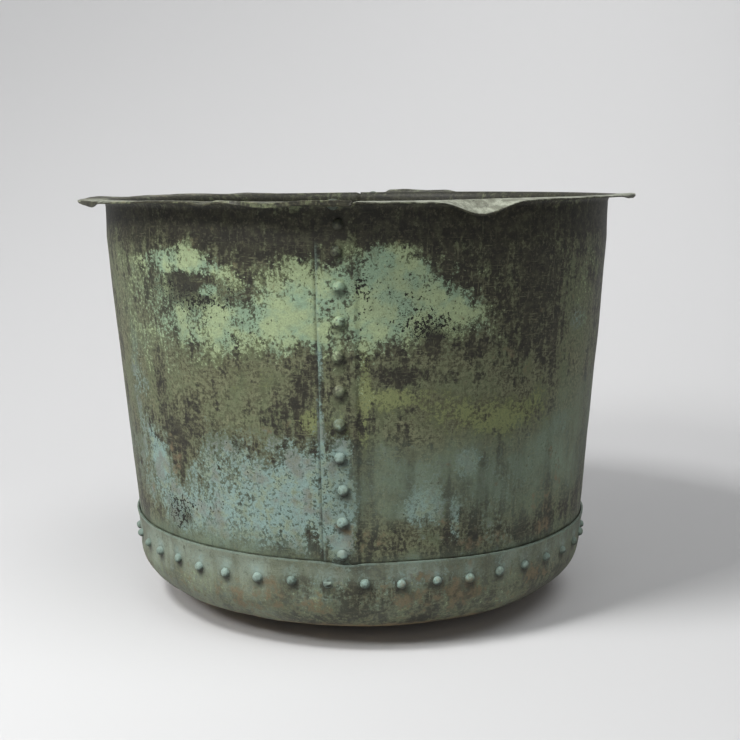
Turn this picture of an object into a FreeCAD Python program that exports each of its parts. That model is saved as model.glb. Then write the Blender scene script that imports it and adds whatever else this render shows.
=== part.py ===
import FreeCAD, Part
import math
import os
import Sketcher

# Riveted sheet-copper vat. +Z is up and the origin is the centre of the flat that it stands on.
# Two equal rolled sheets make the tapered wall, and their tops are turned outward as the rim
# flange. Each sheet's leading edge laps over the other sheet. A dished pan closes the foot and
# its upturned side laps outside the wall. Rivets hold every lap.
#
# Angles are counted about +Z, counter-clockwise seen from above, from each piece's own +X.

DIMENSIONS = {
    # rim and wall
    "rim_height": 437.0,
    "rim_radius": 301.4,
    "flange_bend": 6.0,
    "wall_top_radius": 272.9,
    "taper_top_height": 395.0,
    "wall_foot_radius": 244.7,
    "wall_foot_height": 51.0,
    "wall_sheet": 1.5,
    # vertical laps of the wall
    "lap_angle": 7.2,
    "joggle_angle": 0.8,
    "butt_gap_angle": 0.1,
    "lap_foot_gap": 0.5,
    # base pan
    "pan_edge_height": 95.0,
    "pan_sheet": 2.0,
    "knuckle_radius": 44.0,
    "belly_radius": 343.0,
    "rest_radius": 100.0,
    # rivets
    "shank_radius": 2.75,
    "hole_radius": 2.8,
    "head_radius": 5.3,
    "head_rise": 4.3,
    "tail_radius": 4.5,
    "tail_rise": 2.0,
    "tail_gap": 0.05,
    # rivet rows
    "base_rivets": 44.0,
    "base_row_drop": 21.5,
    "base_row_start": 1.45,
    "seam_rivets": 10.0,
    "seam_pitch": 32.0,
    "seam_first_rise": 8.0,
    "seam_top_rise": 321.0,
    "seam_row_setback": 2.95,
    "rim_rivet_radius": 287.0,
    # direction of the front lap's hidden butt, counted from +X
    "front_butt_angle": -90.8,
}

HALF_TURN = 180.0

document = FreeCAD.newDocument("riveted_vat")
sheet = document.addObject("Spreadsheet::Sheet", "sizes")
for row, (alias, value) in enumerate(DIMENSIONS.items(), start=1):
    sheet.set("A%d" % row, alias)
    sheet.set("B%d" % row, str(value))
    sheet.setAlias("B%d" % row, alias)
document.recompute()

# Expressions that several sketches share. The wall's outer face is a cone up to the taper's top
# and a short upright band above it.
WALL_SLOPE = (
    "((sizes.wall_top_radius - sizes.wall_foot_radius)"
    " / (sizes.taper_top_height - sizes.wall_foot_height))"
)
WALL_TILT = "(atan(%s))" % WALL_SLOPE


def wall_radius_at(height):
    """Expression for the wall's outer radius at a height on the tapered part."""
    return "(sizes.wall_foot_radius + (%s - sizes.wall_foot_height) * %s)" % (height, WALL_SLOPE)


def number(expression):
    """Value of an expression, for placing sketch geometry where it will end up."""
    value = sheet.evalExpression(expression)
    return float(getattr(value, "Value", value))


def new_body(label, butt_turn, separate_solids=False):
    """Body turned about +Z, so that its own +X stands butt_turn from the front lap's butt."""
    body = document.addObject("PartDesign::Body", label)
    body.Label = label
    body.AllowCompound = separate_solids
    turn = "sizes.front_butt_angle * 1 deg + (%s) * 1 deg" % butt_turn
    body.setExpression("Placement", "placement(vector(0; 0; 0); rotation(vector(0; 0; 1); %s))" % turn)
    return body


def origin_feature(body, role):
    """Plane or axis of the body's own origin."""
    return next(item for item in body.Origin.OriginFeatures if item.Role == role)


def meridian_sketch(body, name, turn="0", radius="0", height="0", tilt="0"):
    """Sketch in the meridian plane at an angle, with its own origin at a radius and a height.

    Sketch X points outward and sketch Y upward. A tilt leans Y outward by that angle.
    """
    sketch = body.newObject("Sketcher::SketchObject", name)
    sketch.AttachmentSupport = [(origin_feature(body, "XZ_Plane"), "")]
    sketch.MapMode = "FlatFace"
    sketch.setExpression(
        "AttachmentOffset",
        "placement(vector(0; 0; 0); rotation(vector(0; 1; 0); (%s) * 1 deg))"
        " * placement(vector(%s; %s; 0); rotation(vector(0; 0; 1); -(%s)))"
        % (turn, radius, height, tilt if tilt != "0" else "0 deg"),
    )
    return sketch


START, END, CENTRE = 1, 2, 3
ORIGIN_POINT = (-1, 1)


def pin_coordinate(sketch, kind, edge, point, expression):
    """Dimension one coordinate of a point from the sketch's origin, bound to an expression."""
    value = number(expression)
    index = sketch.addConstraint(
        Sketcher.Constraint(kind, ORIGIN_POINT[0], ORIGIN_POINT[1], edge, point, value)
    )
    sketch.setExpression("Constraints[%d]" % index, expression)


def draw_outline(sketch, corners, arcs=None):
    """Closed outline through corners, given as pairs of expressions.

    arcs maps the index of a corner to the centre of the arc that leaves it. That is a pair of
    expressions, with the name of the coordinate that fixes the centre and the arc's direction.
    """
    arcs = arcs or {}
    points = [FreeCAD.Vector(number(x), number(y), 0) for x, y in corners]
    for index, start in enumerate(points):
        end = points[(index + 1) % len(points)]
        if index in arcs:
            centre_x, centre_y, _, counter_clockwise = arcs[index]
            centre = FreeCAD.Vector(number(centre_x), number(centre_y), 0)
            first, last = (start, end) if counter_clockwise else (end, start)
            circle = Part.Circle(centre, FreeCAD.Vector(0, 0, 1), (start - centre).Length)
            angles = [math.atan2(p.y - centre.y, p.x - centre.x) for p in (first, last)]
            sketch.addGeometry(Part.ArcOfCircle(circle, angles[0], angles[1]))
        else:
            sketch.addGeometry(Part.LineSegment(start, end))

    def leaving_point(index):
        return END if index in arcs and not arcs[index][3] else START

    def arriving_point(index):
        return START if index in arcs and not arcs[index][3] else END

    for index in range(len(points)):
        following = (index + 1) % len(points)
        sketch.addConstraint(
            Sketcher.Constraint(
                "Coincident", index, arriving_point(index), following, leaving_point(following)
            )
        )
    for index, (x, y) in enumerate(corners):
        pin_coordinate(sketch, "DistanceX", index, leaving_point(index), x)
        pin_coordinate(sketch, "DistanceY", index, leaving_point(index), y)
    for index, (centre_x, centre_y, fixed, _) in arcs.items():
        if fixed == "x":
            pin_coordinate(sketch, "DistanceX", index, CENTRE, centre_x)
        else:
            pin_coordinate(sketch, "DistanceY", index, CENTRE, centre_y)


def revolve(body, sketch, name, axis, angle, cut=False):
    """Turn a sketch about one of its own axes, adding metal or cutting it away."""
    feature = body.newObject("PartDesign::Groove" if cut else "PartDesign::Revolution", name)
    feature.Profile = sketch
    feature.ReferenceAxis = (sketch, [axis])
    feature.setExpression("Angle", angle)
    return feature


def spin_pattern(body, feature, name, count, step):
    """Repeat a feature about the body's upright axis, at an even angular step."""
    pattern = body.newObject("PartDesign::PolarPattern", name)
    pattern.Originals = [feature]
    pattern.Axis = (origin_feature(body, "Z_Axis"), [""])
    pattern.Mode = "Spacing"
    pattern.setExpression("Offset", step)
    pattern.setExpression("Occurrences", count)
    body.Tip = pattern
    return pattern


def row_pattern(body, feature, sketch, name):
    """Repeat a feature up the wall's slope, at the pitch of the seam rivets."""
    pattern = body.newObject("PartDesign::LinearPattern", name)
    pattern.Originals = [feature]
    pattern.Direction = (sketch, ["V_Axis"])
    pattern.Mode = "Spacing"
    pattern.setExpression("Offset", "sizes.seam_pitch")
    pattern.setExpression("Occurrences", "sizes.seam_rivets")
    body.Tip = pattern
    return pattern


# Places of the rivet rows. Each is the radius, height and tilt of a frame that lies on the
# wall's outer face, with its X along the rivet and its Y up the wall.
BASE_ROW_HEIGHT = "(sizes.pan_edge_height - sizes.base_row_drop)"
SEAM_FIRST_HEIGHT = "(sizes.pan_edge_height + sizes.seam_first_rise)"
ROW_PLACES = {
    "base": (wall_radius_at(BASE_ROW_HEIGHT), BASE_ROW_HEIGHT, WALL_TILT),
    "seam": (wall_radius_at(SEAM_FIRST_HEIGHT), SEAM_FIRST_HEIGHT, WALL_TILT),
    "seam_top": ("sizes.wall_top_radius", "(sizes.pan_edge_height + sizes.seam_top_rise)", "0"),
    # the rim rivets stand upright with their heads under the flange, so their X points down
    "rim": ("sizes.rim_rivet_radius", "(sizes.rim_height - sizes.wall_sheet)", "(90 deg)"),
}


def rivet_hole(body, name, place, turn):
    """Cut one rivet hole through whatever metal of the body lies across it."""
    sketch = meridian_sketch(body, name + "_sketch", turn, *ROW_PLACES[place])
    reach = "(3 * sizes.pan_sheet)"
    draw_outline(
        sketch,
        [
            ("-" + reach, "0"),
            (reach, "0"),
            (reach, "sizes.hole_radius"),
            ("-" + reach, "sizes.hole_radius"),
        ],
    )
    return sketch, revolve(body, sketch, name, "H_Axis", "360 deg", cut=True)


def rivet(body, name, place, turn, outer_grip):
    """One set rivet: domed head outside, shank through the sheets, low hammered tail inside."""
    sketch = meridian_sketch(body, name + "_sketch", turn, *ROW_PLACES[place])
    head_base = outer_grip
    head_top = "(%s + sizes.head_rise)" % head_base
    tail_base = "(-sizes.wall_sheet - sizes.tail_gap)"
    tail_top = "(%s - sizes.tail_rise)" % tail_base
    # a dome of rise k on a base of radius a is an arc whose radius is (a^2 + k^2) / 2k
    head_arc = "((sizes.head_radius^2 + sizes.head_rise^2) / (2 * sizes.head_rise))"
    tail_arc = "((sizes.tail_radius^2 + sizes.tail_rise^2) / (2 * sizes.tail_rise))"
    draw_outline(
        sketch,
        [
            (tail_top, "0"),
            (head_top, "0"),
            (head_base, "sizes.head_radius"),
            (head_base, "sizes.shank_radius"),
            (tail_base, "sizes.shank_radius"),
            (tail_base, "sizes.tail_radius"),
        ],
        {
            1: ("(%s - %s)" % (head_top, head_arc), "0", "y", True),
            5: ("(%s + %s)" % (tail_top, tail_arc), "0", "y", True),
        },
    )
    return sketch, revolve(body, sketch, name, "H_Axis", "360 deg")


def wall_outline(sketch, foot_height, offset):
    """Section of a wall sheet with its flange, set outward of the main sheet by offset."""
    foot_radius = wall_radius_at(foot_height)
    upright = "(sizes.wall_top_radius + %s)" % offset
    bend_centre_radius = "(sizes.wall_top_radius + sizes.flange_bend)"
    bend_centre_height = "(sizes.rim_height - sizes.wall_sheet - sizes.flange_bend)"
    underside = "(sizes.rim_height - sizes.wall_sheet - %s)" % offset
    topside = "(sizes.rim_height - %s)" % offset
    draw_outline(
        sketch,
        [
            ("(%s + %s)" % (foot_radius, offset), foot_height),
            (upright, "sizes.taper_top_height"),
            (upright, bend_centre_height),
            (bend_centre_radius, underside),
            ("sizes.rim_radius", underside),
            ("sizes.rim_radius", topside),
            (bend_centre_radius, topside),
            ("(%s - sizes.wall_sheet)" % upright, bend_centre_height),
            ("(%s - sizes.wall_sheet)" % upright, "sizes.taper_top_height"),
            ("(%s + %s - sizes.wall_sheet)" % (foot_radius, offset), foot_height),
        ],
        {
            2: (bend_centre_radius, bend_centre_height, "x", False),
            6: (bend_centre_radius, bend_centre_height, "x", True),
        },
    )


def wall_sheet(label, butt_turn):
    """Half of the wall. Its +X edge butts against the other sheet, which it laps backwards."""
    body = new_body(label, butt_turn)
    main_sketch = meridian_sketch(body, label + "_section")
    wall_outline(main_sketch, "sizes.wall_foot_height", "0")
    revolve(body, main_sketch, label + "_sheet", "V_Axis", "(180 - sizes.butt_gap_angle) * 1 deg")

    # the lap lies outside the other sheet, stops just above the pan and steps down at the butt
    lap_sketch = meridian_sketch(body, label + "_lap_section", "-sizes.lap_angle")
    wall_outline(lap_sketch, "(sizes.pan_edge_height + sizes.lap_foot_gap)", "sizes.wall_sheet")
    revolve(
        body,
        lap_sketch,
        label + "_lap",
        "V_Axis",
        "(sizes.lap_angle + sizes.joggle_angle) * 1 deg",
    )

    _, base_hole = rivet_hole(body, label + "_base_hole", "base", "sizes.base_row_start")
    spin_pattern(
        body,
        base_hole,
        label + "_base_holes",
        "sizes.base_rivets / 2",
        "360 deg / sizes.base_rivets",
    )
    # both ends of the sheet carry a seam row: the lap here, the other sheet's lap half round
    for end, end_turn in (("lap", 0.0), ("tuck", HALF_TURN)):
        turn = "(%s - sizes.seam_row_setback)" % end_turn
        name = "%s_%s" % (label, end)
        sketch, hole = rivet_hole(body, name + "_seam_hole", "seam", turn)
        row_pattern(body, hole, sketch, name + "_seam_holes")
        rivet_hole(body, name + "_top_hole", "seam_top", turn)
        rivet_hole(body, name + "_rim_hole", "rim", turn)
    return body


def tangent(sketch, first, first_point, second, second_point):
    """Join two edges end to end with no corner."""
    sketch.addConstraint(Sketcher.Constraint("Tangent", first, first_point, second, second_point))


def coincident(sketch, first, first_point, second, second_point):
    """Put two points of the sketch together."""
    sketch.addConstraint(Sketcher.Constraint("Coincident", first, first_point, second, second_point))


def bind(sketch, constraint, expression):
    """Add a dimension and bind it to an expression."""
    index = sketch.addConstraint(constraint)
    sketch.setExpression("Constraints[%d]" % index, expression)


def pan_outline(sketch):
    """Section of the pan: a flat to stand on, a shallow belly, a round knuckle and a side.

    The inner side line lies on the wall's outer face. The outer outline keeps one sheet
    thickness from the inner one, so their arcs share centres.
    """
    edge_radius = wall_radius_at("sizes.pan_edge_height")
    edge_height = "sizes.pan_edge_height"
    sheet_thickness = number("sizes.pan_sheet")
    tilt = math.radians(number(WALL_TILT))
    rest = number("sizes.rest_radius")
    knuckle = number("sizes.knuckle_radius")
    belly = number("sizes.belly_radius")
    top = FreeCAD.Vector(number(edge_radius), number(edge_height), 0)

    # the knuckle's centre keeps its distance from the side line and from the belly's centre
    belly_centre = FreeCAD.Vector(rest, belly, 0)
    along = FreeCAD.Vector(math.sin(tilt), math.cos(tilt), 0)
    outward = FreeCAD.Vector(math.cos(tilt), -math.sin(tilt), 0)
    base = top - outward * (knuckle - sheet_thickness)
    gap = base - belly_centre
    middle = gap.dot(along)
    reach = middle * middle - gap.dot(gap) + (belly - knuckle) ** 2
    knuckle_centre = base - along * (middle + math.sqrt(reach))
    joint = (knuckle_centre - belly_centre).normalize()
    joint_angle = math.atan2(joint.y, joint.x)

    def arc(centre, radius, first, last):
        circle = Part.Circle(centre, FreeCAD.Vector(0, 0, 1), radius)
        return sketch.addGeometry(Part.ArcOfCircle(circle, first, last))

    def line(first, last):
        return sketch.addGeometry(Part.LineSegment(first, last))

    down = -math.pi / 2
    surfaces = []
    for inset in (0.0, sheet_thickness):
        knuckle_top = knuckle_centre + outward * (knuckle - inset)
        rise = (top.y - knuckle_top.y) / along.y
        flat = line(FreeCAD.Vector(0, inset, 0), FreeCAD.Vector(rest, inset, 0))
        belly_arc = arc(belly_centre, belly - inset, down, joint_angle)
        knuckle_arc = arc(knuckle_centre, knuckle - inset, joint_angle, -tilt)
        side = line(knuckle_top, knuckle_top + along * rise)
        tangent(sketch, flat, END, belly_arc, START)
        tangent(sketch, belly_arc, END, knuckle_arc, START)
        tangent(sketch, knuckle_arc, END, side, START)
        sketch.addConstraint(Sketcher.Constraint("Horizontal", flat))
        surfaces.append((flat, belly_arc, knuckle_arc, side))
    (flat, belly_arc, knuckle_arc, side), (inner_flat, inner_belly, inner_knuckle, inner_side) = surfaces
    axis_edge = line(FreeCAD.Vector(0, 0, 0), FreeCAD.Vector(0, sheet_thickness, 0))
    lip = line(top, top + FreeCAD.Vector(sheet_thickness / math.cos(tilt), 0, 0))

    coincident(sketch, flat, START, *ORIGIN_POINT)
    coincident(sketch, axis_edge, START, flat, START)
    coincident(sketch, axis_edge, END, inner_flat, START)
    coincident(sketch, lip, START, inner_side, END)
    coincident(sketch, lip, END, side, END)
    coincident(sketch, inner_belly, CENTRE, belly_arc, CENTRE)
    coincident(sketch, inner_knuckle, CENTRE, knuckle_arc, CENTRE)
    sketch.addConstraint(Sketcher.Constraint("Vertical", axis_edge))
    sketch.addConstraint(Sketcher.Constraint("Horizontal", lip))
    sketch.addConstraint(Sketcher.Constraint("Parallel", side, inner_side))
    bind(sketch, Sketcher.Constraint("Distance", axis_edge, sheet_thickness), "sizes.pan_sheet")
    bind(sketch, Sketcher.Constraint("Radius", belly_arc, belly), "sizes.belly_radius")
    bind(sketch, Sketcher.Constraint("Radius", knuckle_arc, knuckle), "sizes.knuckle_radius")
    pin_coordinate(sketch, "DistanceX", flat, END, "sizes.rest_radius")
    pin_coordinate(sketch, "DistanceX", inner_side, END, edge_radius)
    pin_coordinate(sketch, "DistanceY", inner_side, END, edge_height)
    vertical_axis = -2
    bind(
        sketch,
        Sketcher.Constraint("Angle", inner_side, START, vertical_axis, START, tilt),
        WALL_TILT,
    )


def base_pan():
    """Dished pan with one ring of rivet holes in its upturned side."""
    body = new_body("base_pan", "sizes.base_row_start")
    section = meridian_sketch(body, "base_pan_section")
    pan_outline(section)
    revolve(body, section, "base_pan_dish", "V_Axis", "360 deg")
    _, hole = rivet_hole(body, "base_pan_hole", "base", "0")
    spin_pattern(body, hole, "base_pan_holes", "sizes.base_rivets", "360 deg / sizes.base_rivets")
    return body


def base_seam_rivets():
    """Ring of rivets through the pan's side and the wall's foot."""
    body = new_body("base_seam_rivets", "sizes.base_row_start", separate_solids=True)
    _, first = rivet(body, "base_rivet", "base", "0", "sizes.pan_sheet")
    spin_pattern(body, first, "base_rivet_ring", "sizes.base_rivets", "360 deg / sizes.base_rivets")
    return body


def seam_rivets(label, butt_turn):
    """Row of rivets up one lap, evenly pitched, with one more close under the flange."""
    body = new_body(label, "%s - sizes.seam_row_setback" % butt_turn, separate_solids=True)
    sketch, first = rivet(body, label + "_first", "seam", "0", "sizes.wall_sheet")
    row_pattern(body, first, sketch, label + "_row")
    rivet(body, label + "_top", "seam_top", "0", "sizes.wall_sheet")
    return body


def rim_lap_rivets():
    """Two upright rivets that close the flange's two laps, heads underneath."""
    body = new_body("rim_lap_rivets", "-sizes.seam_row_setback", separate_solids=True)
    _, first = rivet(body, "rim_rivet", "rim", "0", "sizes.wall_sheet")
    spin_pattern(body, first, "rim_rivet_pair", "2", "180 deg")
    return body


def check_document():
    """Stop if any feature failed or any sketch is left loose."""
    for item in document.Objects:
        if "Invalid" in item.State or "Error" in item.State:
            raise RuntimeError("%s failed: %s" % (item.Name, item.State))
        if item.isDerivedFrom("Sketcher::SketchObject") and item.solve() != 0:
            raise RuntimeError("%s does not solve" % item.Name)


def write_piece(body):
    """Check one piece's solids and write its file."""
    shape = body.Shape
    if shape.isNull() or not shape.isValid() or not shape.Solids:
        raise RuntimeError("%s has no valid solid" % body.Label)
    shape.exportStep("parts/%s.step" % body.Label)
    print("%-20s %3d solids  %9.1f mm3" % (body.Label, len(shape.Solids), shape.Volume))


pieces = [
    wall_sheet("wall_sheet_right", "0"),
    wall_sheet("wall_sheet_left", str(HALF_TURN)),
    base_pan(),
    base_seam_rivets(),
    seam_rivets("front_seam_rivets", "0"),
    seam_rivets("rear_seam_rivets", str(HALF_TURN)),
    rim_lap_rivets(),
]
document.recompute()
check_document()
os.makedirs("parts", exist_ok=True)
for piece in pieces:
    write_piece(piece)
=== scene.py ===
import math

import bpy
import numpy as np
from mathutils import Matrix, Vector


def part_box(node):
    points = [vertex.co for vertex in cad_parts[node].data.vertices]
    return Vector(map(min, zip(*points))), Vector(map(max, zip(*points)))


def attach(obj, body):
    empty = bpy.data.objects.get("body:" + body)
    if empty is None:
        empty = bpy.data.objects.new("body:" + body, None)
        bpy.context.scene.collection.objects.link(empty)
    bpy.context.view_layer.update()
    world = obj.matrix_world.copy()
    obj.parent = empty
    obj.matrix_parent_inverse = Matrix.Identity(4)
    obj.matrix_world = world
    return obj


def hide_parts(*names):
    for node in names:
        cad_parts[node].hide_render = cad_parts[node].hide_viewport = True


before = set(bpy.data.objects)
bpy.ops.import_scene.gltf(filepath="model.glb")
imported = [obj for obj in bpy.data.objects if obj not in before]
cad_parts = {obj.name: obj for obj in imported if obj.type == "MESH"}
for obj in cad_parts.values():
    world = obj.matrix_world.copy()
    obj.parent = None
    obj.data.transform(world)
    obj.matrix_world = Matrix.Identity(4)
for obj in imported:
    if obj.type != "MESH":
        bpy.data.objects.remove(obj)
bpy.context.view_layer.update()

# Looks for a riveted copper vat under old verdigris. Lengths are in metres and angles in degrees.
# An angle of 0 is the front (-Y) and grows towards +X, so it runs counter-clockwise from above.

MM = 0.001

# -------- sizes from the frame
wall_low, wall_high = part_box("wall_sheet_right")
pan_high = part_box("base_pan")[1]

RIM_HEIGHT = wall_high.z
RIM_RADIUS = wall_high.x
WALL_FOOT = wall_low.z
PAN_EDGE = pan_high.z
PAN_EDGE_RADIUS = pan_high.x

# -------- sizes the boxes can't give
WALL_SHEET = 1.5 * MM
PAN_SHEET = 2.0 * MM
FLANGE_BEND = 6.0 * MM
WALL_TOP_RADIUS = 272.9 * MM
TAPER_TOP = 395 * MM
LAP_ANGLE = 7.2
JOGGLE_ANGLE = 1.2
LAP_GAP = 0.25 * MM
FRONT_BUTT = -0.8
KNUCKLE_RADIUS = 44 * MM
BELLY_RADIUS = 343 * MM
REST_RADIUS = 100 * MM
BASE_RIVETS = 44
BASE_ROW_START = 0.65
BASE_ROW_DROP = 21.5 * MM
BASE_ROW_TILT = -0.6 * MM
SEAM_ROW_INSET = 2.95
SEAM_ROW_COUNT = 10
SEAM_PITCH = 32 * MM
SEAM_FIRST_RISE = 8 * MM
SEAM_TOP_RISE = 321 * MM
RIM_RIVET_RADIUS = 287 * MM
RIM_RIVET_INSET = 3.3
SHANK_RADIUS = 2.75 * MM
HEAD_RADIUS = 5.3 * MM
HEAD_RISE = 4.6 * MM
TAIL_RADIUS = 4.5 * MM
TAIL_RISE = 2.0 * MM
WALL_SLOPE = (WALL_TOP_RADIUS - PAN_EDGE_RADIUS + PAN_SHEET) / (TAPER_TOP - PAN_EDGE)
FLANGE_START = WALL_TOP_RADIUS + FLANGE_BEND
FLANGE_WIDTH = RIM_RADIUS - FLANGE_START
LAP_STEP = WALL_SHEET + LAP_GAP
# one radius for reading the wall's noise, so that its lumps keep their size from pan to rim
NOISE_RADIUS = 0.262

# the whole barrel leans a little towards -X as it rises, and its rim is a little high at +X
LEAN_AT_RIM = -3.4 * MM
RIM_TILT = 0.0096
PAN_TILT = -0.008


# -------- smooth noise and curves
def lattice_value(ix, iy, iz, seed):
    """Repeatable value from 0 to 1 at the corners of a unit grid."""
    mixed = (ix * 374761393 + iy * 668265263 + iz * 1274126177 + seed * 974634777) & 0xFFFFFFFF
    mixed = ((mixed ^ (mixed >> 13)) * 1103515245) & 0xFFFFFFFF
    mixed = ((mixed ^ (mixed >> 15)) * 2246822519) & 0xFFFFFFFF
    return (mixed ^ (mixed >> 16)) / 0xFFFFFFFF


def value_noise(points, seed):
    """Smooth noise from -1 to 1 at points whose grid is one unit wide."""
    cell = np.floor(points).astype(np.int64)
    part = points - cell
    part = part * part * part * (part * (part * 6 - 15) + 10)
    total = np.zeros(len(points))
    for corner in range(8):
        step = np.array([corner & 1, (corner >> 1) & 1, corner >> 2])
        weight = np.prod(np.where(step == 1, part, 1 - part), axis=1)
        total += weight * lattice_value(*(cell + step).T, seed)
    return total * 2 - 1


def noise(points, size, seed, octaves=1, roughness=0.5):
    """Noise whose largest lumps are about size across, with finer octaves added."""
    total = np.zeros(len(points))
    strength, amount = 1.0, 0.0
    scaled = points / size
    for octave in range(octaves):
        total += strength * value_noise(scaled, seed + 31 * octave)
        amount += strength
        strength *= roughness
        scaled = scaled * 2.03
    return total / amount


def smooth(low, high, value):
    """0 below low, 1 above high and a smooth rise between."""
    share = np.clip((value - low) / (high - low), 0, 1)
    return share * share * (3 - 2 * share)


def turn_to(angle, centre):
    """Signed angle from centre, between -180 and 180."""
    return (angle - centre + 180) % 360 - 180


def bell(distance, half_width):
    """Smooth bell of height 1 that is 0 beyond its half width."""
    share = np.clip(np.abs(distance) / half_width, 0, 1)
    return 0.5 + 0.5 * np.cos(math.pi * share)


def round_curve(knots, angle):
    """Metres at an angle, on a smooth closed curve through (angle, millimetres) knots."""
    ordered = sorted(knots)
    (first, first_value), (last, last_value) = ordered[0], ordered[-1]
    closed = np.array([(last - 360, last_value), *ordered, (first + 360, first_value)], float)
    angles, values = closed.T
    wrapped = (angle - angles[0]) % 360 + angles[0]
    index = np.clip(np.searchsorted(angles, wrapped, side="right") - 1, 0, len(angles) - 2)
    share = smooth(angles[index], angles[index + 1], wrapped)
    return (values[index] * (1 - share) + values[index + 1] * share) * MM


def on_barrel(angle, radius, height):
    """Points from angle, radius and height."""
    a = np.radians(angle)
    return np.stack([radius * np.sin(a), -radius * np.cos(a), height], axis=1)


# -------- shape of the old sheet
def wall_radius(height):
    """Radius of the wall's outer face before dents."""
    return np.minimum(PAN_EDGE_RADIUS - PAN_SHEET + (height - PAN_EDGE) * WALL_SLOPE, WALL_TOP_RADIUS)


# (angle, height, half width in degrees, half height, depth) of single dents and bulges; a
# negative depth is pushed in
DENTS = [
    (-25, 0.33, 3.0, 0.070, 0.7 * MM),
    (-60, 0.30, 14, 0.060, -1.2 * MM),
    (-38, 0.17, 12, 0.040, -1.0 * MM),
    (14, 0.36, 12, 0.050, 0.8 * MM),
    (40, 0.24, 16, 0.050, -1.2 * MM),
    (66, 0.36, 10, 0.040, 0.9 * MM),
    (80, 0.29, 12, 0.036, 1.0 * MM),
    (120, 0.20, 20, 0.070, -2.0 * MM),
    (165, 0.30, 16, 0.060, -1.5 * MM),
    (-120, 0.25, 18, 0.080, -2.0 * MM),
    (-155, 0.34, 14, 0.050, 1.2 * MM),
]


def barrel_relief(angle, height):
    """How far the wall and the pan's side stand out of their even cone, from dents and hammering."""
    points = on_barrel(angle, NOISE_RADIUS, height)
    relief = 1.1 * MM * noise(points, 0.16, 3) + 0.45 * MM * noise(points, 0.055, 5)
    relief += 0.16 * MM * noise(points, 0.020, 7)
    for centre, middle, half_width, half_height, depth in DENTS:
        across = turn_to(angle, centre) / half_width
        along = (height - middle) / half_height
        relief += depth * np.exp(-1.5 * (across**2 + along**2))
    quiet = smooth(WALL_FOOT, PAN_EDGE + 0.02, height) * 0.6 + 0.4
    return relief * quiet


def lap_step(angle):
    """1 where the front or rear lap doubles the wall, with a soft step down past the hidden edge."""
    step = np.zeros(len(angle))
    for butt in (FRONT_BUTT, FRONT_BUTT + 180):
        away = turn_to(angle, butt)
        rise = smooth(-LAP_ANGLE - 0.6, -LAP_ANGLE, away)
        step = np.maximum(step, rise * (1 - smooth(0, JOGGLE_ANGLE, away)))
    return step


# Outer edge of the flange, as (angle, millimetres above or below flat).
RIM_EDGE = [
    (-178, -0.8), (-165, -0.5), (-160, 1.0), (-152, 2.5), (-145, 1.5), (-137, 3.0), (-122, 1.7),
    (-113, 0.4), (-100, 2.4), (-86, 0.4), (-60, 0.0), (-46, 0.6), (-37, 1.7), (-31, 1.4),
    (-28, -1.4), (-24.8, 2.0), (-20, 0.4), (-15.4, -1.4), (-8, 1.1), (-3, 0.9), (-1, 0.4),
    (1, -0.7), (8, -0.9), (13.5, -1.5), (22.3, -13.0), (31.5, -0.8), (36, 0.0), (42, 0.3),
    (50, 0.5), (63, 0.6), (78, 1.6), (90, 0.0), (104, -1.2), (120, -1.5), (137, -0.8),
    (148, 0.3), (152.5, -0.2), (157, 4.2), (162, 3.6), (168, 6.2), (171.5, 5.2), (174, -2.8),
]
# Inner bend of the flange, where it is hammered up or down.
RIM_BEND = [
    (-150, 0.8), (-90, 0.2), (-60, 0.4), (-30, 0.2), (-8, -0.4), (10, -0.5), (35, 0.4), (60, 0.6),
    (90, 0.4), (160, 1.2),
]
# Length of the outermost strip of the flange that is turned down, in millimetres.
RIM_LIP = [
    (-100, 0.3), (-75, 0.8), (-68, 4.5), (-62, 6.0), (-56, 1.2), (-28, 1.2), (-24, 2.4), (-17, 4.2),
    (-12, 3.8), (-8, 4.0), (-4, 4.6), (-1, 5.0), (-0.7, 0.3), (60, 0.3), (68, 3.0), (73, 4.0),
    (79, 0.8), (120, 0.4), (150, 1.8), (172, 1.0),
]


def bend_flange(angle, along, radius, height, under):
    """Move flange points of a flat rim to where the real one lies.

    along runs from 0 at the end of the bend to 1 at the flange's edge. under is how far the
    point lies below the flange's top face.
    """
    lip = round_curve(RIM_LIP, angle)
    edge = round_curve(RIM_EDGE, angle) - round_curve(RIM_BEND, angle)
    edge = edge + 0.6 * MM * noise(on_barrel(angle, 0.3, np.zeros(len(angle))), 0.022, 17, 3)
    turn = np.arcsin(np.clip(edge / FLANGE_WIDTH, -0.85, 0.85))
    flat_share = 0.8
    on_lip = smooth(0.0015, 0.004, lip) * smooth(flat_share - 0.02, flat_share + 0.02, along)
    stretch = np.where(lip > 0.0025, np.minimum(along / flat_share, 1), along)
    reach = FLANGE_WIDTH * (along + (stretch - along) * smooth(0.001, 0.004, lip))
    curl = turn * smooth(0, 0.6, along) ** 0.7
    out = reach * np.cos(curl) - FLANGE_WIDTH * 0.02 * on_lip
    rise = reach * np.sin(curl)
    drop = lip * np.clip((along - flat_share) / (1 - flat_share), 0, 1)
    moved_radius = np.where(along > 0, FLANGE_START + out + under * np.sin(curl), radius)
    moved_radius = moved_radius - under * on_lip
    moved_height = height + rise - drop + under * on_lip * 0.6
    return moved_radius, moved_height


def settle(points):
    """Lean and rim tilt that the whole barrel shares."""
    share = np.clip((points[:, 2] - PAN_EDGE) / (RIM_HEIGHT - PAN_EDGE), 0, 1.1)
    moved = points.copy()
    moved[:, 0] += LEAN_AT_RIM * share
    moved[:, 2] += RIM_TILT * points[:, 0] * smooth(0.80, 1.0, share)
    return moved


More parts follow.
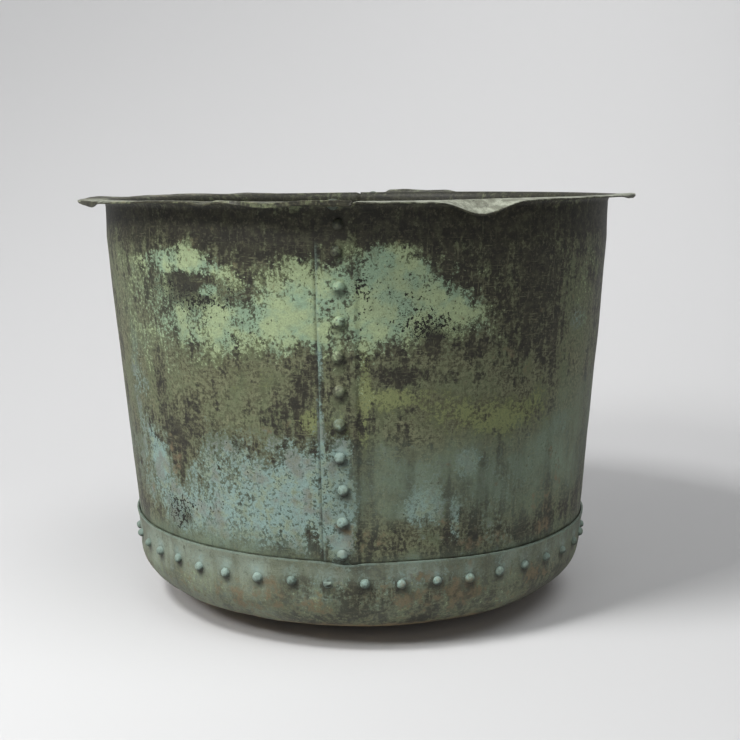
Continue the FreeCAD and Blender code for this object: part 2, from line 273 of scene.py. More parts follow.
# -------- mesh building
def grid_faces(rows, columns, close_rows=False, close_columns=False):
    """Quads of a grid whose points are stored row after row."""
    faces = []
    row_steps = rows if close_rows else rows - 1
    column_steps = columns if close_columns else columns - 1
    for i in range(row_steps):
        here, there = i * columns, ((i + 1) % rows) * columns
        for j in range(column_steps):
            after = (j + 1) % columns
            faces.append((here + j, here + after, there + after, there + j))
    return faces


def store_marks(mesh, marks):
    """Store a number for every point under each name, for the mesh's material."""
    for name, values in marks.items():
        layer = mesh.attributes.new(name, "FLOAT", "POINT")
        layer.data.foreach_set("value", np.asarray(values, np.float32))


def add_object(name, data):
    """Object in the scene that shows some data."""
    item = bpy.data.objects.new(name, data)
    bpy.context.scene.collection.objects.link(item)
    return item


def make_object(name, points, faces, smooth_angle=50, marks=None):
    """Mesh object with smooth shading that stays sharp at creases."""
    mesh = bpy.data.meshes.new(name)
    mesh.from_pydata(np.asarray(points).tolist(), [], faces)
    mesh.update()
    store_marks(mesh, marks or {})
    item = add_object(name, mesh)
    for polygon in mesh.polygons:
        polygon.use_smooth = True
    mesh.set_sharp_from_angle(angle=math.radians(smooth_angle))
    return item


# Height of the pan's top edge above or below level, as (angle, millimetres).
PAN_LIP = [
    (-90, 0.6), (-60, -0.6), (-30, 0.4), (-8, 0.3), (-3, -1.8), (2, -0.6), (12, 0.2), (35, -0.5),
    (60, 0.8), (110, -0.8), (160, 0.8), (-150, -0.5),
]


def pan_lip(angle, radius):
    """How far the pan's top edge lies above its level."""
    return round_curve(PAN_LIP, angle) + PAN_TILT * radius * np.sin(np.radians(angle))


# The big flat dent low on the left: a plane that the pan is beaten back to. It faces DENT_ANGLE
# and DENT_DROP degrees down, DENT_SUPPORT from the origin, and its edge is rounded over DENT_BLEND.
DENT_ANGLE = -76.0
DENT_DROP = 33.0
DENT_SUPPORT = 0.2160
DENT_BLEND = 2 * MM
DENT_LIMIT = 20 * MM


def cut_dent(angle, radius, height, behind=0.0):
    """Push points beyond the dent's plane back to it. behind is the depth below the pan's face."""
    a, tilt = np.radians(turn_to(angle, DENT_ANGLE)), math.radians(DENT_DROP)
    reach = radius * np.cos(a) * math.cos(tilt) - height * math.sin(tilt)
    beyond = reach - (DENT_SUPPORT - behind)
    rounded = (np.maximum(beyond, -DENT_BLEND) + DENT_BLEND) ** 2 / (4 * DENT_BLEND)
    push = np.clip(np.where(beyond > DENT_BLEND, beyond, rounded), 0, DENT_LIMIT)
    return height + push * math.sin(tilt), radius - push * math.cos(tilt)


def wall_sheet(name, butt_angle):
    """One rolled wall sheet with its lap, joggle and turned-out flange."""
    # degrees travelled from the sheet's own edge, in fine steps at the laps
    fine_step, plain_end = 0.3, 177
    joggle_end = LAP_ANGLE + JOGGLE_ANGLE
    lap_part = np.arange(0, joggle_end + 0.4, fine_step)
    plain_part = np.linspace(joggle_end + 0.9, plain_end, 252)
    end_part = np.arange(177.3, 180 + LAP_ANGLE, fine_step)
    travel = np.concatenate([lap_part, plain_part, end_part, [180 + LAP_ANGLE]])
    angle = butt_angle - LAP_ANGLE + travel
    bend_start = RIM_HEIGHT - WALL_SHEET - FLANGE_BEND
    heights = np.concatenate([
        np.linspace(WALL_FOOT, PAN_EDGE - 2.5 * MM, 14),
        PAN_EDGE + np.array([-0.8, 0.0, 0.9, 1.8, 3.2, 5.0]) * MM,
        np.linspace(PAN_EDGE + 8 * MM, bend_start, 106),
    ])

    # section of the outer face: base radius, height, outward direction and share of the flange
    section = [(float(wall_radius(h)), h, 1.0, 0.0, 0.0) for h in heights]
    for turn in np.radians(range(18, 91, 18)):
        out, up = math.cos(turn), math.sin(turn)
        section.append((FLANGE_START - FLANGE_BEND * out, bend_start + FLANGE_BEND * up, out, -up, 0.0))
    flange_steps = 12
    for step in range(1, flange_steps + 1):
        along = step / flange_steps
        section.append((FLANGE_START + along * FLANGE_WIDTH, RIM_HEIGHT - WALL_SHEET, 0.0, -1.0, along))
    outer_count = len(section)

    rows, grooves, edges = [], [], []
    # travel at which the other sheet's edge lies on this one
    met_at = 179.75
    other_edge = 1 - smooth(0.15, 0.55, np.abs(travel - met_at))
    own_edge = 1 - smooth(0.1, 0.5, travel)
    order = [(s, 0.0) for s in section] + [(s, WALL_SHEET) for s in reversed(section)]
    step = LAP_STEP * (1 - smooth(LAP_ANGLE, joggle_end, travel))
    for (radius, height, out_r, out_z, along), depth in order:
        relief = barrel_relief(angle, np.full(len(angle), height))
        relief = relief * (1 - smooth(TAPER_TOP + 0.01, RIM_HEIGHT, height))
        shift = step - depth
        r = radius + out_r * shift + relief
        z = height + out_z * shift
        z = z + round_curve(RIM_BEND, angle) * smooth(TAPER_TOP, RIM_HEIGHT - WALL_SHEET, height)
        if along > 0:
            r, z = bend_flange(angle, np.full(len(angle), along), r, z, step + WALL_SHEET - depth)
        level = pan_lip(angle, r) * (1 - smooth(0.01, 0.05, abs(height - PAN_EDGE)))
        z, r = cut_dent(angle, r, z + level, PAN_SHEET + LAP_GAP + depth)
        rows.append(settle(on_barrel(angle, r, z)))
        outer_skin = float(depth == 0 and along == 0)
        near_lip = float(-0.1 * MM <= height - PAN_EDGE <= 1.0 * MM)
        # groove: a dark line beside the other sheet's edge and along the pan's lip, partly dirt and partly
        # painted shade in the crevice
        grooves.append(outer_skin * np.maximum(other_edge * (height > PAN_EDGE), near_lip))
        # edge: a pale blue-green patina line with a painted highlight along the sheet's own cut edge,
        # faded where the flange shades it
        edges.append(outer_skin * own_edge * (1 - smooth(0.385, 0.405, height)))
    marks = {"groove": np.concatenate(grooves), "edge": np.concatenate(edges)}
    row_count, column_count = len(rows), len(angle)
    faces = grid_faces(row_count, column_count, close_rows=True)
    # close the sheet's two ends between its outer and inner face
    for end, way in ((0, 1), (column_count - 1, -1)):
        for i in range(outer_count - 1):
            j = row_count - 1 - i
            faces.append(tuple(row * column_count + end for row in (i, i + 1, j - 1, j)[::way]))
    return make_object(name, np.concatenate(rows), faces, marks=marks)


def pan_section():
    """Outer face of the pan from lip to centre, as (radius, height, outward r, outward z)."""
    tilt = math.atan(WALL_SLOPE)
    along = np.array([math.sin(tilt), math.cos(tilt)])
    outward = np.array([math.cos(tilt), -math.sin(tilt)])
    top = np.array([PAN_EDGE_RADIUS, PAN_EDGE])
    belly_centre = np.array([REST_RADIUS, BELLY_RADIUS])
    base = top - outward * KNUCKLE_RADIUS
    gap = base - belly_centre
    middle = gap @ along
    reach = middle**2 - gap @ gap + (BELLY_RADIUS - KNUCKLE_RADIUS) ** 2
    knuckle_centre = base - along * (middle + math.sqrt(reach))
    joint = knuckle_centre - belly_centre
    joint_angle = math.atan2(joint[1], joint[0])
    side_end = knuckle_centre + outward * KNUCKLE_RADIUS

    section = []
    for share in (0.0, 0.025, 0.055, 0.1, *np.linspace(0.16, 1, 13)):
        point = top + (side_end - top) * share
        section.append((*point, *outward))
    for centre, radius, start, end, count in (
        (knuckle_centre, KNUCKLE_RADIUS, -tilt, joint_angle, 26),
        (belly_centre, BELLY_RADIUS, joint_angle, -math.pi / 2, 34),
    ):
        for angle in np.linspace(start, end, count)[1:]:
            away = np.array([math.cos(angle), math.sin(angle)])
            section.append((*(centre + radius * away), *away))
    for radius in np.linspace(REST_RADIUS, 0, 26)[1:-1]:
        section.append((radius, 0.0, 0.0, -1.0))
    return section


PAN_SECTION = pan_section()


def pan_relief(angle, radius, height):
    """How far the pan's face is pushed out by hammering, dents and the laps behind its side."""
    points = on_barrel(angle, radius, height)
    side = smooth(WALL_FOOT, WALL_FOOT + 0.02, height)
    barrel = barrel_relief(angle, height)
    own = 1.3 * MM * noise(points, 0.09, 11) + 0.5 * MM * noise(points, 0.028, 13)
    own = own - 2.5 * MM * bell(turn_to(angle, 58), 20) * bell(height - 30 * MM, 40 * MM)
    standing = smooth(REST_RADIUS, REST_RADIUS + 0.06, radius)
    return (barrel * side + own * (1 - side) * standing) + lap_bulge(angle) * side


def lap_bulge(angle):
    """Bulge of the pan's side over the wall's laps."""
    return LAP_STEP * lap_step(angle)


def base_pan(name):
    """Dished pan with a slightly flared, uneven lip."""
    columns = 480
    angle = np.linspace(-180, 180, columns, endpoint=False)
    rows, edges = [], []
    order = [(s, 0.0) for s in PAN_SECTION] + [(s, PAN_SHEET) for s in reversed(PAN_SECTION)]
    for (radius, height, out_r, out_z), depth in order:
        relief = pan_relief(angle, np.full(columns, radius), np.full(columns, height))
        flare = 1.1 * MM * smooth(PAN_EDGE - 0.010, PAN_EDGE, height) * (
            0.7 + 0.6 * noise(on_barrel(angle, 0.25, np.zeros(columns)), 0.05, 23, 2)
        )
        shift = relief + flare - depth + LAP_GAP * smooth(0, WALL_FOOT, height)
        r = radius + out_r * shift
        z = height + out_z * shift
        z = z + pan_lip(angle, r) * smooth(PAN_EDGE - 0.045, PAN_EDGE, height)
        z, r = cut_dent(angle, r, z, depth)
        rows.append(settle(on_barrel(angle, r, z)))
        # edge: a painted highlight in pale blue-green along the top of the pan's lip
        edges.append(np.full(columns, float(height > PAN_EDGE - 1.4 * MM)))
    points = np.concatenate(rows)
    faces = grid_faces(len(rows), columns, close_columns=True)
    half = len(PAN_SECTION)
    # open the grid between the two faces at the centre and close each with a fan
    last_outer, first_inner = (half - 1) * columns, half * columns
    faces = faces[:last_outer] + faces[first_inner:]
    outer_hub = len(points)
    hubs = np.array([[0, 0, 0], [0, 0, PAN_SHEET]])
    points = np.concatenate([points, hubs])
    marks = {"edge": np.concatenate([*edges, [0.0, 0.0]])}
    # the lip joins the first outer row and the last inner row
    bottom = (len(rows) - 1) * columns
    for j in range(columns):
        after = (j + 1) % columns
        faces.append((last_outer + j, last_outer + after, outer_hub))
        faces.append((first_inner + after, first_inner + j, outer_hub + 1))
        faces.append((bottom + j, bottom + after, after, j))
    # the section runs downward, so the grid's faces point inward until they are turned
    faces = [face[::-1] for face in faces]
    return make_object(name, points, faces, marks=marks)


# -------- rivets
def rivet_mesh(centre, outward, upward, inner_grip, outer_grip, rng, squash=1.0, wide=1.0):
    """Points and faces of one hammered rivet: head, shank and low tail as one closed solid."""
    segments = 22
    spin = np.linspace(0, 2 * math.pi, segments, endpoint=False) + rng.uniform(0, 1)
    head_radius = HEAD_RADIUS * rng.uniform(0.93, 1.08) * wide
    head_rise = HEAD_RISE * rng.uniform(0.9, 1.1) * squash
    rings = []
    steps = 7
    for step in range(steps):
        share = (step + 0.5) / steps * math.pi / 2
        rings.append((TAIL_RADIUS * math.sin(share), -inner_grip - TAIL_RISE * math.cos(share)))
    rings.append((TAIL_RADIUS, -inner_grip))
    rings.append((SHANK_RADIUS, -inner_grip))
    rings.append((SHANK_RADIUS, outer_grip))
    rings.append((head_radius * 1.02, outer_grip - 0.1 * MM))
    # the head lies between a dome and a cone, as one that is struck round its rim
    for step in range(steps + 1):
        share = (1 - (step + 0.2) / (steps + 0.6)) * math.pi / 2
        radius = head_radius * (0.75 * math.sin(share) + 0.25 * share / (math.pi / 2))
        rings.append((radius, outer_grip + head_rise * (math.cos(share) ** 0.7)))
    local = [np.stack([r * np.cos(spin), r * np.sin(spin), np.full(segments, h)], 1) for r, h in rings]
    local.append([[0, 0, -inner_grip - TAIL_RISE], [0, 0, outer_grip + head_rise]])
    local = np.concatenate(local)

    # hammer flats: push what stands beyond a few slanted planes back onto them
    on_head = local[:, 2] > outer_grip + 0.2 * MM
    for _ in range(5):
        lean, heading = rng.uniform(0.35, 1.0), rng.uniform(0, 2 * math.pi)
        level = math.sin(lean)
        normal = np.array([level * math.cos(heading), level * math.sin(heading), math.cos(lean)])
        from_base = local - [0, 0, outer_grip]
        beyond = from_base @ normal - head_rise * rng.uniform(0.93, 1.06)
        cut = on_head & (beyond > 0)
        local[cut] -= np.outer(beyond[cut], normal)
    # an off-centre struck top
    for axis in (0, 1):
        local[on_head, axis] += rng.uniform(-0.5, 0.5) * MM * (local[on_head, 2] - outer_grip) / HEAD_RISE
    ring_count = len(rings)
    faces = grid_faces(ring_count, segments, close_columns=True)
    tail_tip, head_tip = ring_count * segments, ring_count * segments + 1
    last = (ring_count - 1) * segments
    for j in range(segments):
        after = (j + 1) % segments
        faces.append((after, j, tail_tip))
        faces.append((last + j, last + after, head_tip))
    side = np.cross(upward, outward)
    world = local[:, :1] * side + local[:, 1:2] * upward + local[:, 2:] * outward + centre
    return world, faces, centre


# centre of every rivet made so far, for the painted shadow and bloom round them
RIVET_PLACES = []


def join_rivets(name, rivets):
    """One object that holds several rivets as separate closed solids, whose places are noted."""
    points, faces = [], []
    offset = 0
    for world, local_faces, place in rivets:
        RIVET_PLACES.append(place)
        points.append(world)
        faces += [tuple(offset + k for k in face) for face in local_faces]
        offset += len(world)
    return make_object(name, np.concatenate(points), faces, smooth_angle=60)


def wall_frame(angle, height, shift):
    """Point on the wall's outer face, moved out by shift, with outward and upward directions."""
    a = math.radians(angle)
    around, level = np.array([angle]), np.array([height])
    radius = wall_radius(height) + barrel_relief(around, level) + shift
    height, radius = (float(part[0]) for part in cut_dent(around, radius, level))
    slope = 0.0 if height > TAPER_TOP else math.atan(WALL_SLOPE)
    level_out = np.array([math.sin(a), -math.cos(a), 0])
    outward = level_out * math.cos(slope) - np.array([0, 0, math.sin(slope)])
    upward = level_out * math.sin(slope) + np.array([0, 0, math.cos(slope)])
    centre = settle(np.array([level_out * radius + np.array([0, 0, height])]))[0]
    return centre, outward, upward


def base_rivets(name):
    """Ring of rivets through the pan's side and the wall's foot. The last one is worn nearly flat."""
    rng = np.random.default_rng(41)
    worn_squash, wide = 0.35, 0.88
    rivets = []
    for index in range(BASE_RIVETS):
        angle = BASE_ROW_START + index * 360 / BASE_RIVETS + rng.uniform(-0.35, 0.35)
        height = PAN_EDGE - BASE_ROW_DROP + rng.uniform(-1.3, 1.3) * MM
        height += BASE_ROW_TILT * math.sin(math.radians(angle))
        bulge = float(lap_bulge(np.array([angle]))[0])
        centre, outward, upward = wall_frame(angle, height, bulge + LAP_GAP)
        squash = worn_squash if index == BASE_RIVETS - 1 else 1.0
        rivets.append(rivet_mesh(centre, outward, upward, LAP_STEP + bulge, PAN_SHEET, rng, squash, wide))
    return join_rivets(name, rivets)


def seam_rivets(name, butt_angle, seed):
    """Row of rivets up one lap of the wall."""
    rng = np.random.default_rng(seed)
    squash, wide = 1.08, 1.06
    rises = [SEAM_FIRST_RISE + k * SEAM_PITCH for k in range(SEAM_ROW_COUNT)]
    rivets = []
    for rise in (*rises, SEAM_TOP_RISE):
        angle = butt_angle - SEAM_ROW_INSET + rng.uniform(-0.3, 0.3)
        height = PAN_EDGE + rise + rng.uniform(-1.2, 1.2) * MM
        centre, outward, upward = wall_frame(angle, height, 0)
        rivets.append(rivet_mesh(centre, outward, upward, WALL_SHEET, LAP_STEP, rng, squash, wide))
    return join_rivets(name, rivets)


def rim_rivets(name):
    """Upright rivets that close the flange's two laps, heads underneath."""
    rng = np.random.default_rng(7)
    rivets = []
    for butt in (FRONT_BUTT, FRONT_BUTT + 180):
        angle = np.array([butt - RIM_RIVET_INSET])
        along = (RIM_RIVET_RADIUS - FLANGE_START) / FLANGE_WIDTH
        height = np.array([RIM_HEIGHT]) + round_curve(RIM_BEND, angle)
        radius, height = bend_flange(angle, np.array([along]), RIM_RIVET_RADIUS, height, 0.0)
        centre = settle(on_barrel(angle, radius, height))[0]
        a = math.radians(angle[0])
        level_out = np.array([math.sin(a), -math.cos(a), 0])
        down = np.array([0, 0, -1.0])
        rivets.append(rivet_mesh(centre, down, level_out, 0.0, 2 * WALL_SHEET + LAP_GAP, rng))
    return join_rivets(name, rivets)


# -------- patina regions
def patches(angle, height, table, seed):
    """Sum of soft patches with wandering outlines.

    Each row is (angle, height in mm, half width in degrees, half height in mm, amount).
    """
    points = on_barrel(angle, NOISE_RADIUS, height)
    wander_a = 4.0 * noise(points, 0.060, seed, 3) + 2.0 * noise(points, 0.018, seed + 1, 2)
    wander_z = 0.018 * noise(points, 0.060, seed + 2, 3) + 0.009 * noise(points, 0.018, seed + 3, 2)
    total = np.zeros(len(angle))
    for centre, middle, half_width, half_height, amount in table:
        narrow = min(1.0, half_width / 7.0)
        across = (turn_to(angle, centre) + wander_a * narrow) / half_width
        along = (height + wander_z * min(1.0, half_height / 30) - middle * MM) / (half_height * MM)
        distance = np.sqrt(across**2 + along**2)
        total += amount * (1 - smooth(0.35, 1.35, distance))
    return total


# Amounts are roughly the share of the surface that the layer covers.
# pale grey-green crust of the upper wall
PALE = [
    (-32, 345, 30, 58, 0.38), (-38, 380, 12, 18, 0.5), (-31, 322, 16, 30, 0.35),
    (-20, 318, 14, 26, 0.2), (-15, 326, 8, 34, 0.35), (-10, 348, 4, 56, 0.55), (-5, 335, 3.5, 50, 0.45),
    (-32, 354, 2.2, 6, 0.9), (-45, 290, 20, 26, 0.2), (0, 60, 400, 22, 0.12), (5, 364, 11, 38, 0.9),
    (12, 345, 12, 36, 0.75), (2, 335, 5, 30, 0.3), (15, 368, 8, 24, 0.5), (6, 322, 9, 20, 0.4),
    (22, 345, 9, 34, 0.35), (0.8, 300, 3, 50, 0.3), (14, 300, 16, 10, 0.15), (58, 352, 7, 44, 0.15),
    (-20, 378, 10, 24, 0.15), (26, 312, 12, 12, 0.12), (110, 350, 20, 40, 0.6), (150, 335, 22, 40, 0.5),
    (-95, 340, 16, 45, 0.5), (-130, 365, 18, 26, 0.7), (-165, 330, 18, 40, 0.5),
]
# blue-green crust of the lower wall
TEAL = [
    (-28, 168, 22, 56, 0.6), (-60, 165, 14, 46, 0.4), (-10, 165, 12, 58, 0.6),
    (-50, 205, 9, 22, 0.35), (-53.5, 180, 4.5, 24, 0.9), (-60, 260, 3.5, 60, 0.45),
    (-56, 240, 2.0, 50, 0.3), (-14, 306, 7, 14, 0.35), (-8.3, 300, 0.9, 120, 0.8),
    (-8.3, 150, 0.9, 60, 0.7), (-30, 112, 24, 12, 0.35), (10, 175, 9, 44, 0.35), (56, 322, 5, 12, 0.4),
    (-3.5, 150, 4, 60, 0.55), (-22, 355, 5, 20, 0.25), (13, 135, 5, 22, 0.35), (26, 160, 14, 40, 0.35),
    (25, 188, 3.5, 18, 0.6), (14, 149, 6, 20, 0.45), (21, 131, 1.3, 28, 0.7), (52, 212, 4, 18, 0.4),
    (44, 175, 12, 40, 0.25), (36, 112, 20, 14, 0.25), (-26, 140, 9, 16, 0.35),
    (-3.9, 122, 2.6, 44, 0.4), (-3.9, 200, 2.2, 30, 0.35), (-31.5, 86, 1.6, 8, 0.8),
    (-23.5, 86, 1.6, 8, 0.8), (-15.5, 86, 1.6, 8, 0.8), (25, 86, 1.6, 8, 0.6), (33, 86, 1.6, 8, 0.4),
    (0, 84, 400, 14, 0.4), (-20, 82, 30, 10, 0.1), (14, 60, 30, 20, 0.35), (-14, 62, 12, 14, 0.3),
    (-46, 132, 12, 30, 0.5), (-20, 150, 20, 40, 0.2), (100, 170, 30, 55, 0.6), (150, 160, 30, 50, 0.6),
    (-100, 165, 26, 60, 0.7), (-150, 170, 30, 55, 0.6),
]
# yellow-green growth
LIME = [
    (-38, 300, 26, 26, 0.25), (-24, 272, 14, 20, 0.2), (-10.5, 232, 3.6, 16, 0.8),
    (0.9, 275, 1.6, 80, 0.75), (-4, 222, 3.0, 22, 0.6), (4, 262, 6, 22, 0.3), (8, 253, 7, 12, 0.4),
    (12, 252, 9, 14, 0.2), (26, 236, 16, 20, 0.5), (38, 230, 14, 26, 0.3), (-9.5, 385, 3, 18, 0.5),
    (-4, 300, 3, 20, 0.2), (57, 350, 7, 40, 0.22), (42, 280, 16, 30, 0.1), (-46, 376, 4, 14, 0.3),
    (-28, 330, 12, 20, 0.15), (-10, 340, 4, 50, 0.3), (14, 330, 12, 20, 0.12), (110, 260, 28, 26, 0.3),
    (160, 265, 24, 24, 0.3), (-110, 270, 30, 24, 0.3), (-160, 262, 22, 26, 0.3),
]
# bare black-brown oxide; its first row, a ring just under the flange, is partly dark oxide and partly the
# flange's painted shadow
BLACK = [
    (0, 418, 400, 16, 0.8), (-36, 363, 7, 10, 0.85), (-19, 376, 8, 16, 0.55), (-20, 398, 14, 12, 0.5),
    (-52, 398, 16, 12, 0.4), (-10.5, 272, 3.6, 26, 0.9), (-18, 236, 5, 22, 0.9), (-16, 260, 5, 12, 0.4),
    (-48, 262, 3.2, 44, 0.8), (-44, 205, 4.5, 34, 0.5), (-57, 225, 3, 18, 0.5), (-3, 278, 2.6, 26, 0.4),
    (-2.0, 352, 1.3, 50, 0.4), (-45.5, 192, 3.4, 34, 0.95), (8, 276, 6, 9, 0.9), (20, 300, 10, 10, 0.3),
    (18, 272, 10, 8, 0.6), (30, 380, 12, 26, 0.45), (36, 335, 9, 44, 0.45), (30, 300, 9, 20, 0.2),
    (44, 350, 11, 50, 0.45), (46, 290, 9, 40, 0.3), (4, 404, 9, 10, 0.4), (-40, 245, 8, 16, 0.3),
    (-26, 252, 6, 14, 0.2), (64, 300, 5, 70, 0.2), (51, 112, 5, 20, 0.5), (39, 114, 4, 14, 0.6),
    (90, 330, 14, 70, 0.5), (130, 300, 12, 60, 0.5), (175, 300, 12, 50, 0.5), (-80, 300, 10, 60, 0.4),
    (-115, 300, 10, 60, 0.4), (-145, 290, 12, 50, 0.5),
]
# dense small black pits
PITS = [
    (-46, 132, 6, 22, 0.9), (-36, 142, 7, 10, 0.5), (-26, 190, 10, 12, 0.3), (8, 352, 10, 26, 0.45),
    (13, 324, 8, 16, 0.9), (-38, 350, 14, 20, 0.6), (-30, 330, 16, 30, 0.4), (-40, 215, 14, 12, 0.4),
    (0, 360, 2, 40, 0.6),
]
# brown and orange wear
BROWN = [
    (-45.5, 185, 3, 30, 0.5), (0, 5, 400, 12, 1.0), (8, 118, 8, 20, 0.3), (2, 112, 5, 14, 0.25),
    (24, 128, 8, 24, 0.35), (50, 150, 12, 40, 0.35), (36, 110, 10, 14, 0.35), (12, 66, 14, 18, 0.3),
    (46, 62, 8, 12, 0.55), (47, 106, 5, 10, 0.5), (-26, 60, 14, 16, 0.2), (24, 60, 6, 12, 0.25),
    (0, 18, 400, 9, 0.9), (-58, 130, 3, 30, 0.3), (26, 105, 4, 12, 0.3), (-4, 128, 3, 10, 0.3),
    (38, 300, 14, 60, 0.2), (-40, 400, 30, 14, 0.2), (-40, 225, 26, 16, 0.25), (0, 44, 400, 22, 0.3),
    (-20, 72, 40, 14, 0.15), (30, 80, 30, 12, 0.25),
]
# olive and brown film over the oxide
FILM = [
    (0, 240, 400, 190, 0.55), (-34, 270, 34, 50, 0.35), (20, 240, 24, 50, 0.35),
    (58, 280, 10, 120, 0.25), (-62, 290, 10, 110, 0.3), (0, 60, 400, 40, 0.45),
    (-50, 395, 26, 16, 0.25), (-30, 150, 40, 50, 0.4), (-20, 360, 12, 30, 0.2),
]
# thin even grey-green haze that hides the mottling below
HAZE = [
    (34, 170, 36, 50, 0.6), (4, 175, 10, 44, 0.4), (60, 200, 20, 60, 0.5), (-20, 90, 40, 14, 0.35),
    (30, 85, 36, 12, 0.3), (6, 350, 10, 34, 0.3), (-50, 330, 20, 60, 0.1), (140, 180, 50, 60, 0.6),
    (-120, 180, 50, 60, 0.6), (-52, 84, 50, 26, 0.85), (-60, 40, 60, 34, 0.5), (48, 84, 44, 24, 0.4),
    (45, 50, 50, 26, 0.25), (160, 60, 80, 50, 0.6), (-30, 110, 34, 14, 0.35),
]


def spots_by_rivets(place, offset, size, power, low_only=False):
    """Soft spots at an offset from every rivet, or from those of the lower wall only."""
    total = np.zeros(len(place))
    for centre in RIVET_PLACES:
        away = place - centre
        near = np.abs(away).max(axis=1) < 0.03
        distance = np.linalg.norm(away[near] - offset, axis=1)
        share = 1 - smooth(0.18, 0.25, float(centre[2])) if low_only else 1.0
        total[near] += share * np.exp(-((distance / size) ** power))
    return np.minimum(total, 1)


def point_rows(collection, key):
    """Three numbers for every point of a mesh, as rows."""
    values = np.empty(len(collection) * 3)
    collection.foreach_get(key, values)
    return values.reshape(-1, 3)


def paint_regions(item, fresh):
    """Store how much of each layer lies at every point of a mesh.

    The patches go into three colour attributes, and marks that follow the shape go into plain
    ones. fresh is an even share of blue-green crust and haze, which only the rivets have.
    """
    mesh = item.data
    on_rivets = fresh > 0
    place = point_rows(mesh.vertices, "co")
    normal = point_rows(mesh.vertex_normals, "vector")
    angle = np.degrees(np.arctan2(place[:, 0], -place[:, 1]))
    height = place[:, 2]
    radius = np.hypot(place[:, 0], place[:, 1])
    facing = (normal[:, 0] * place[:, 0] + normal[:, 1] * place[:, 1]) / np.maximum(radius, 0.001)
    inside = smooth(0.3, -0.3, facing) * (radius < 0.277) * (not on_rivets)
    flange = smooth(0.275, 0.279, radius) * smooth(0.3, 0.7, normal[:, 2])
    amounts = [patches(angle, height, table, 101 + 100 * k) for k, table in enumerate(REGION_TABLES)]
    pale, teal, lime, black, brown, pits, film, haze = amounts
    outer = 1 - 0.75 * inside
    pale = pale * outer * (1 - flange)
    under_rim = smooth(0.420, 0.425, height)
    fresh = fresh * (1 - 0.7 * smooth(0.18, 0.26, height) * (1 - under_rim))
    bare_top = 1 - smooth(0.395, 0.415, height)
    pale = pale * bare_top
    teal = (teal * outer + 0.2 * inside) * bare_top + fresh
    lime = lime * outer * bare_top
    brown = brown + 0.25 * flange * (1 - smooth(-1.5, -0.5, angle))
    black = black * (1 - flange) * (1 - fresh)
    haze = haze * outer * (1 - flange) + 0.6 * fresh
    layers = {
        "growth": (pale, teal, lime),
        "wear": (black * (1 - 0.3 * inside), brown, pits * outer),
        "veil": (film, haze, inside),
    }
    for name, values in layers.items():
        packed = np.stack([*values, np.ones(len(place))], axis=1)
        layer = mesh.color_attributes.new(name, "FLOAT_COLOR", "POINT")
        layer.data.foreach_set("color", np.clip(packed, 0, 1).astype(np.float32).ravel())
    # painted shade on the downward, +X side of every rivet head, and a painted shadow on the wall just
    # below each rivet
    under_head = 0.9 * smooth(0.0, -0.7, normal[:, 2] - 0.4 * normal[:, 0]) * (1 - under_rim)
    worn_light = 0.45 + 0.55 * smooth(-1.5, -0.5, angle) * (1 - smooth(105, 125, angle))
    worn_light = worn_light + 0.4 * bell(turn_to(angle, -65), 35)
    around_head = spots_by_rivets(place, [0.8 * MM, 0, -3.6 * MM], 7.4 * MM, 4)
    store_marks(mesh, {
        "rub": 1 - smooth(0.015, 0.029, height),
        "bloom": spots_by_rivets(place, [0, 0, 6.0 * MM], 7.5 * MM, 2, low_only=True),
        "painted_rivet_shade": under_head if on_rivets else around_head,
        "rim": flange * worn_light,
    })


REGION_TABLES = [PALE, TEAL, LIME, BLACK, BROWN, PITS, FILM, HAZE]


